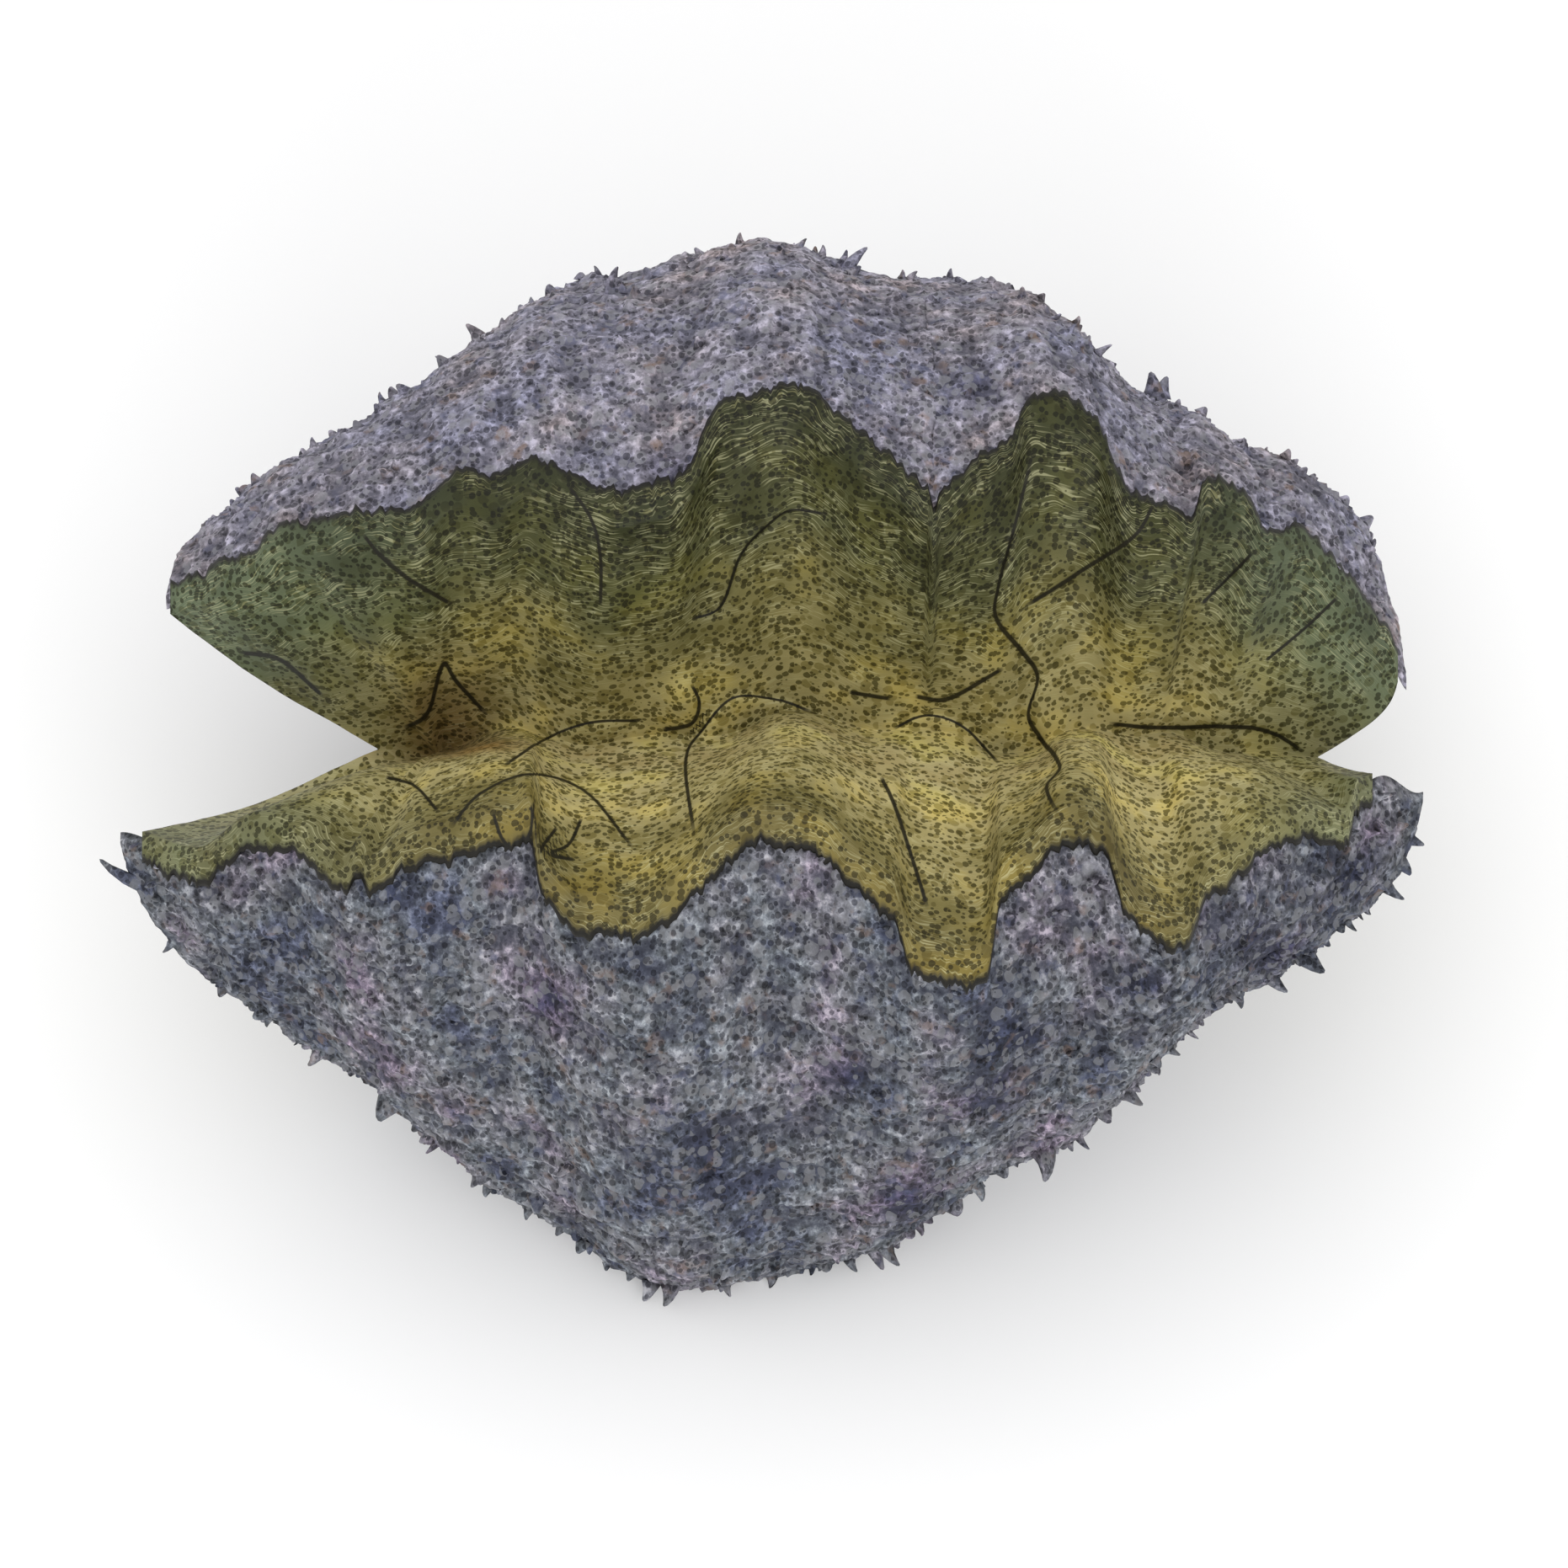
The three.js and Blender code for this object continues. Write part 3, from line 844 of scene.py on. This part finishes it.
# Each crease: how far the flesh on its left side stands up, how far that reaches, how far the
# flesh on its right side stands up, and its points on the plan as (x, back).
CREASES = [
    (9, 40, -7, [(179, 260), (168, 215), (156, 170), (155, 150), (172, 128), (182, 112), (176, 88),
        (184, 72), (196, 54), (187, 40), (195, 22)]),
    (-4, 26, 4, [(257, 224), (244, 203), (212, 182), (173, 156)]),
    (3, 18, -3, [(322, 193), (306, 177), (288, 159)]),
    (3, 18, -3, [(378, 164), (356, 144), (330, 122)]),
    (-5, 30, 6, [(-44, 149), (-24, 158), (-11, 191), (6, 210), (22, 220), (47, 217)]),
    (-4, 28, 4, [(-123, 236), (-108, 214), (-102, 190), (-102, 157)]),
    (5, 26, -4, [(-256, 204), (-244, 190), (-224, 174), (-198, 158)]),
    (4, 16, -4, [(-337, 128), (-310, 123), (-283, 99)]),
    (-3, 24, 6, [(-198, 15), (-180, 36), (-149, 48), (-113, 38), (-80, 0)]),
    (-3, 20, 5, [(-165, 54), (-138, 72), (-109, 82), (-74, 84)]),
    (-4, 26, 6, [(-41, 8), (-47, 57), (-36, 78), (-16, 98), (13, 97), (36, 89)]),
    (-3, 20, 5, [(88, 78), (110, 88), (134, 80), (157, 56)]),
    (4, 22, -4, [(80, 47), (90, 25), (110, -38)]),
    (4, 18, -3, [(102, 100), (125, 99), (160, 119)]),
    (3, 16, -3, [(228, 81), (260, 79), (310, 80), (335, 76), (356, 63)]),
    (-3, 14, 3, [(-242, 47), (-222, 41), (-207, 25)]),
    (2, 12, -9, [(-231, 79), (-215, 90), (-205, 121), (-196, 110), (-176, 87)]),
    (3, 9, -3, [(-63, 78), (-44, 82), (-38, 95), (-43, 107)]),
    (2, 8, -2, [(59, 102), (86, 98)]),
    (2, 6, -2, [(-171, 23), (-166, 8), (-160, 0)]),
    (2, 6, -2, [(-146, 30), (-146, 15), (-150, 4)]),
    (2, 6, -2, [(-130, 14), (-138, 4), (-141, -3)]),
    (2, 6, -2, [(-114, 20), (-122, 4), (-134, -3), (-118, -7)]),
]
# How softly the flesh steps from one side of a crease to the other, and the groove between.
CREASE_STEP = 2.5
CREASE_NOTCH = {"depth": 1.8, "width": 3.6}
# The inhalant opening sinks in, and the exhalant one stands up as a cone.
SIPHONS = [
    {"x": -202, "y": 6, "length": 40, "width": 26, "height": -46},
    {"x": -47, "y": 8, "length": 17, "width": 15, "height": 22},
]
THROAT = {"x": -202, "y": 4, "length": 34, "width": 26}
GLOW = {"x": -178, "y": -20, "length": 26, "width": 12}
# Where the tone of each end begins, and where it is full, out from mid length.
LEFT_END = (170, 360)
RIGHT_END = (250, 400)


def away_from(oval, x, y):
    """How far points are from the middle of an oval, squared: 1 on its edge."""
    return ((x - oval["x"]) / oval["length"]) ** 2 + ((y - oval["y"]) / oval["width"]) ** 2


def smooth_path(knots, per_span=8):
    """Points along a smooth curve through the knots."""
    knots = np.array(knots, float)
    ends = np.concatenate([[2 * knots[0] - knots[1]], knots, [2 * knots[-1] - knots[-2]]])
    path = []
    for a, b, c, d in zip(ends, ends[1:], ends[2:], ends[3:]):
        for s in np.arange(per_span) / per_span:
            path.append(
                0.5 * (2 * b + (c - a) * s + (2 * a - 5 * b + 4 * c - d) * s**2
                       + (3 * b - a - 3 * c + d) * s**3)
            )
    return np.array(path + [knots[-1]])


def crease_field(plan):
    """For points on the plan: the rise that the creases give, and for the nearest crease the
    signed distance to it, the square of that distance, and how far inside its ends the point is."""
    rise = np.zeros(len(plan))
    nearest = np.tile(NO_CREASE, (len(plan), 1))
    for left_rise, reach, right_rise, knots in CREASES:
        path = smooth_path(knots)
        close = np.all((plan > path.min(0) - 3 * reach) & (plan < path.max(0) + 3 * reach), axis=1)
        here = plan[close]
        best = np.full(len(here), 1e9)
        side = np.zeros(len(here))
        along = np.zeros(len(here))
        for k, (a, b) in enumerate(zip(path, path[1:])):
            run = b - a
            s = np.clip(((here - a) @ run) / (run @ run), 0, 1)
            gap = here - (a + s[:, None] * run)
            square = (gap**2).sum(1)
            nearer = square < best
            best = np.where(nearer, square, best)
            turn = run[0] * gap[:, 1] - run[1] * gap[:, 0]
            side = np.where(nearer, np.sign(turn), side)
            along = np.where(nearer, (k + s) / (len(path) - 1), along)
        taper = np.sqrt(np.clip(4 * along * (1 - along), 0, 1))
        away = np.sqrt(best)
        over = 0.5 + 0.5 * np.tanh(side * away / CREASE_STEP)
        swell = lerp(right_rise, left_rise, over) * np.exp(-((away / reach) ** 2))
        notch = -CREASE_NOTCH["depth"] * np.exp(-((away / CREASE_NOTCH["width"]) ** 2))
        rise[close] += (swell + notch) * taper
        known = nearest[close]
        found = np.stack([side * away, best, taper], axis=1)
        nearest[close] = np.where((best < known[:, 1])[:, None], found, known)
    return rise, nearest


def valley_point(u):
    """The bottom of the valley between the lobes, which stops short of the corners."""
    x = lerp(FRONT["left"], FRONT["right"], u)
    left = (1 - ease(u, 0, NOTCH["fade"])) * (NOTCH["left"] - FRONT["left"])
    right = ease(u, 1 - NOTCH["fade"], 1) * (FRONT["right"] - NOTCH["right"])
    crest = 4 * u * (1 - u)
    sway = crest * sum(far * np.sin(x / run + start) for far, run, start in VALLEY_WAVES)
    return stack(x + left - right, sway, lerp(lerp(*VALLEY_ENDS, u), MANTLE_VALLEY, crest))


def mantle_rib(valve, u):
    """The shell rib that the mantle's own rib u lies on, so that it leaves the corners bare."""
    left, right = valve["bare_tips"]
    return u + left * (1 - ease(u, 0, 0.07)) - right * ease(u, 0.93, 1)


def rim_of(valve, u):
    """The mantle's rim, just inside a valve's lip and over it."""
    lift = RIM_LIFT * lerp(0.15, 1, ease(u, 0, 0.06) * (1 - ease(u, 0.95, 1)))
    u = mantle_rib(valve, u)
    one = np.ones_like(u)
    rim = shell_point(valve, u, one, wall_at(u, one) + BODY_GAP)
    rim[..., 2] += lift
    return rim


def mantle_skin(u, across):
    """The mantle's skin: across = -1 at the front rim, 0 in the valley, 1 at the back rim."""
    front_rim, back_rim = rim_of(FRONT, u), rim_of(BACK, u)
    rim = np.where((across < 0)[..., None], front_rim, back_rim)
    soft = VALLEY_ROUND
    reach = (np.sqrt(across**2 + soft**2) - soft) / (math.sqrt(1 + soft**2) - soft)
    valley = valley_point(u)
    point = lerp(valley, rim, reach[..., None])
    end = 1 - ease(u, 0, 0.14) * (1 - ease(u, 0.88, 1))
    front_slack, back_slack = (np.where(u < 0.5, *valve["end_slack"]) for valve in (FRONT, BACK))
    slack = lerp(PLUMP, np.where(across < 0, front_slack, back_slack), end)
    point[..., 2] = lerp(valley[..., 2], rim[..., 2], reach**1.15) + slack * np.sin(math.pi * reach)
    # The ends of the back lobe belly out past the straight line from the valley to the corner.
    belly = np.where(across > 0, np.sin(math.pi * reach), 0)
    point[..., 0] += belly * (BELLY_RIGHT * ease(u, 0.9, 1) - BELLY_LEFT * (1 - ease(u, 0, 0.1)))
    for siphon in SIPHONS:
        away = away_from(siphon, point[..., 0], point[..., 1])
        point[..., 2] += siphon["height"] * np.exp(-away)
    return point


def draped_edge(valve, u_line):
    """The free edge of the mantle over the lip: from the rim, over the lip and down its outside,
    then back under itself to the lip."""
    side = valve["side"]
    frill = [noise.fractal(Vector((x, 0.3 * side, 0)), 0.5, 2.2, 4) for x in u_line * FRILLS]
    hang = OVERHANG + FRILL_DEPTH * np.array(frill)[:, None]
    u, s = np.meshgrid(u_line, np.linspace(0, 1, MANTLE_EDGE_ROWS + 1)[1:], indexing="ij")
    one = np.ones_like(u)
    rim = rim_of(valve, u)
    lip = shell_point(valve, mantle_rib(valve, u), one, np.zeros_like(u))
    # From the lip, the edge turns at over and ends at tip, and is a little thick there.
    over = lip + stack(0, side * (2.0 + 0.6 * hang), RIM_LIFT - 3.0)
    tip = lip + stack(0, side * (4.0 + hang), 1.5 - 0.35 * hang)
    under_tip = lip + stack(0, side * (3.2 + 0.8 * hang), -0.6 - 0.3 * hang)
    under_lip = lip + np.array([0.0, 0.6 * side, 1.5])
    s = s[..., None]
    back = 1 - s
    top = rim * back**2 + 2 * over * back * s + tip * s**2
    return top, np.stack([under_tip[:, 0], under_lip[:, 0]], axis=1)


def body_underside(valve, u_line):
    """The underside of a lobe: down the shell's lining, and above the hinge plates."""
    u, t = np.meshgrid(u_line, np.linspace(1, BODY_SEAT, MANTLE_UNDER_ROWS), indexing="ij")
    rib = mantle_rib(valve, u)
    wall = shell_point(valve, rib, t, wall_at(rib, t) + BODY_GAP)
    wall[:, 0, 2] += 1.5
    return stand(wall, MANTLE_FLOOR)


def mantle_faces(rows, under_rows):
    """The faces of the mantle's rings, and of its two end walls, each a sheet between the skin and
    the underside."""
    size = rows + under_rows
    faces = ring_faces(MANTLE_RIBS, size, True)
    for start, turned in ((0, False), (MANTLE_RIBS * size, True)):
        for k in range(under_rows + 1):
            top_a = round(k * (rows - 1) / (under_rows + 1))
            top_b = round((k + 1) * (rows - 1) / (under_rows + 1))
            loop = [start + m for m in range(top_a, top_b + 1)]
            if k < under_rows:
                loop.append(start + size - 1 - k)
            if k > 0:
                loop.append(start + size - k)
            faces.append(tuple(loop[::-1] if turned else loop))
    return faces


def build_mantle(material):
    """The mantle: skin, free edges and underside, as one closed piece."""
    u_line = lerp(0.003, 0.997, np.linspace(0, 1, MANTLE_RIBS + 1))
    across_line = np.linspace(-1, 1, MANTLE_ROWS + 1)
    skin = mantle_skin(*np.meshgrid(u_line, across_line, indexing="ij"))
    front_top, front_under = draped_edge(FRONT, u_line)
    back_top, back_under = draped_edge(BACK, u_line)
    top = np.concatenate([front_top[:, ::-1], skin, back_top], axis=1)
    # Across runs on past the rims, to 1.12 at the tips of the free edges.
    edge = np.linspace(0, 1, MANTLE_EDGE_ROWS + 1)[1:]
    across = np.concatenate([-1 - 0.12 * edge[::-1], across_line, 1 + 0.12 * edge])
    across = np.broadcast_to(across, top.shape[:2])

    back = top[..., 1] * math.sin(PLAN_TILT) + top[..., 2] * math.cos(PLAN_TILT)
    rise, nearest = crease_field(np.stack([top[..., 0], back], axis=-1).reshape(-1, 2))
    fade = 1 - ease(np.abs(across), 0.86, 1.05)
    # Soft lumps 46 and 15 mm across cover the skin between its creases.
    folds = crust(top, 46, 3, 5.0) * 2.6 + crust(top, 15, 3, 17.0) * 0.9
    top[..., 2] += rise.reshape(top.shape[:2]) * fade + folds * (0.35 + 0.65 * fade)

    under = [
        stand(back_under),
        body_underside(BACK, u_line),
        body_underside(FRONT, u_line)[:, ::-1],
        stand(front_under)[:, ::-1],
    ]
    rings = np.concatenate([stand(top)] + under, axis=1)
    rows = top.shape[1]
    under_rows = rings.shape[1] - rows

    x, y = top[..., 0], top[..., 1]
    end = np.clip(ease(-x, *LEFT_END) + ease(x, *RIGHT_END), 0, 1)
    spacing = np.linalg.norm(np.diff(top, axis=1), axis=-1).mean(0)
    breadth = np.concatenate([[0], np.cumsum(spacing)])
    # What each material pattern follows: its name, its values on top, and its value underneath.
    fields = [
        ("across", (across + 1.12) / 2.24, 0.5),
        ("grain", stack(x * MM, breadth * MM, 0.0), 0.0),
        ("crease", nearest.reshape(top.shape), NO_CREASE),
        # The rim's dark band is partly pigment and partly painted shadow, and the whole underside is
        # painted as dark as it.
        ("rim", ease(np.abs(across), 1.07, 1.09), 1.0),
        ("end", end, 0.0),
        ("throat", np.exp(-(away_from(THROAT, x, y) ** 1.5)), 0.0),
        ("glow", 0.8 * np.exp(-away_from(GLOW, x, y)), 0.0),
    ]
    attributes = []
    for label, values, beneath in fields:
        below = np.broadcast_to(beneath, (len(values), under_rows) + values.shape[2:])
        whole = np.concatenate([values, below], axis=1)
        attributes.append((label, whole.reshape((-1,) + values.shape[2:])))
    return mesh_piece(
        "mantle", rings.reshape(-1, 3), mantle_faces(rows, under_rows), "mantle", material,
        attributes,
    )


# ---- The ligament ---------------------------------------------------------------------------

LIGAMENT_INSET = 14
LIGAMENT_MIDDLE = 13
LIGAMENT_HALF_HEIGHTS = (5, 13)
LIGAMENT_GROOVE = 0.35
LIGAMENT_GROOVES = 9


def build_ligament(material):
    """The ligament: a flat band of horn, grooved along its layers, in the slit between the hinge
    plates. It is tallest at the middle of the hinge."""
    steps = 160
    rows = 14
    half_width = HINGE_SLIT - 0.5
    along = np.linspace(0, 1, steps + 1)
    x = lerp(HINGE_LEFT + LIGAMENT_INSET, HINGE_RIGHT - LIGAMENT_INSET, along)
    tall = lerp(*LIGAMENT_HALF_HEIGHTS, np.sqrt(4 * along * (1 - along)))
    rings = []
    for k in range(2 * rows):
        face = -1 if k < rows else 1
        up = k / (rows - 1) if k < rows else (2 * rows - 1 - k) / (rows - 1)
        groove = LIGAMENT_GROOVE * math.cos(up * LIGAMENT_GROOVES * math.pi) - LIGAMENT_GROOVE
        z = LIGAMENT_MIDDLE + tall * (2 * up - 1)
        rings.append(stack(x, face * (half_width + groove), z))
    grid = stand(np.stack(rings, axis=1))
    size = 2 * rows
    faces = ring_faces(steps, size, False)
    faces.append(tuple(range(size))[::-1])
    faces.append(tuple(steps * size + k for k in range(size)))
    return mesh_piece("ligament", grid.reshape(-1, 3), faces, "ligament", material)


# The front valve gets the darker, painted-shade copy of the shell, and the back valve the lighter,
# painted-light copy.
build_valve(FRONT, crusted_shell("crusted_shell_shaded_front", SHADED_FRONT_TONES), 520, 21)
build_valve(BACK, crusted_shell("crusted_shell_lit_back", LIT_BACK_TONES), 380, 34)
build_mantle(living_mantle())
build_ligament(horny_ligament())


# ---- The studio -----------------------------------------------------------------------------


def studio_floor():
    """A plain white floor, matt paper."""
    material, tree = new_material("white_paper")
    surface = add(tree, "BsdfPrincipled", None, {"Base Color": "#f2f2f2", "Roughness": 0.9})["BSDF"]
    add(tree, "OutputMaterial", None, {"Surface": surface})
    mesh = bpy.data.meshes.new("floor")
    reach = 12.0
    corners = [(-reach, -reach, 0), (reach, -reach, 0), (reach, reach, 0), (-reach, reach, 0)]
    mesh.from_pydata(corners, [], [(0, 1, 2, 3)])
    floor = bpy.data.objects.new("floor", mesh)
    bpy.context.scene.collection.objects.link(floor)
    mesh.materials.append(material)


def soft_lamp(name, place, size, power, aim):
    lamp = bpy.data.lights.new(name, "AREA")
    lamp.shape = "DISK"
    lamp.size = size
    lamp.energy = power
    holder = bpy.data.objects.new(name, lamp)
    holder.location = place
    holder.rotation_mode = "QUATERNION"
    holder.rotation_quaternion = (Vector(aim) - Vector(place)).to_track_quat("-Z", "Y")
    bpy.context.scene.collection.objects.link(holder)


def soft_sky(strength):
    world = bpy.data.worlds.new("soft_sky")
    world.use_nodes = True
    shade = world.node_tree.nodes["Background"]
    shade.inputs["Color"].default_value = linear("#ffffff")
    shade.inputs["Strength"].default_value = strength
    bpy.context.scene.world = world


def camera_from_above(elevation, lens, view_width, right, down):
    """A long lens that looks down at the clam from its front, aimed a little off its middle."""
    middle = (frame_low + frame_high) / 2
    back = Vector((0, -math.cos(elevation), math.sin(elevation)))
    up = Vector((0, math.sin(elevation), math.cos(elevation)))
    camera = bpy.data.cameras.new("camera")
    camera.lens = lens
    camera.sensor_width = 36
    distance = view_width * lens / camera.sensor_width
    camera.clip_start = distance / 100
    camera.clip_end = distance * 4
    holder = bpy.data.objects.new("camera", camera)
    holder.location = middle + Vector((right, 0, 0)) - up * down + back * distance
    holder.rotation_mode = "QUATERNION"
    holder.rotation_quaternion = (-back).to_track_quat("-Z", "Y")
    bpy.context.scene.collection.objects.link(holder)
    bpy.context.scene.camera = holder


studio_floor()
soft_sky(1.02)
soft_lamp("overhead", (-0.3, 0.5, 3.4), 3.6, 26, (0, 0, 0.3))
soft_lamp("front_fill", (0.2, -3.0, 1.9), 2.6, 40, (0, 0, 0.2))
camera_from_above(
    elevation=math.radians(67), lens=1000, view_width=1.024, right=0.0075, down=0.0665
)
bpy.context.scene.view_settings.view_transform = "Standard"
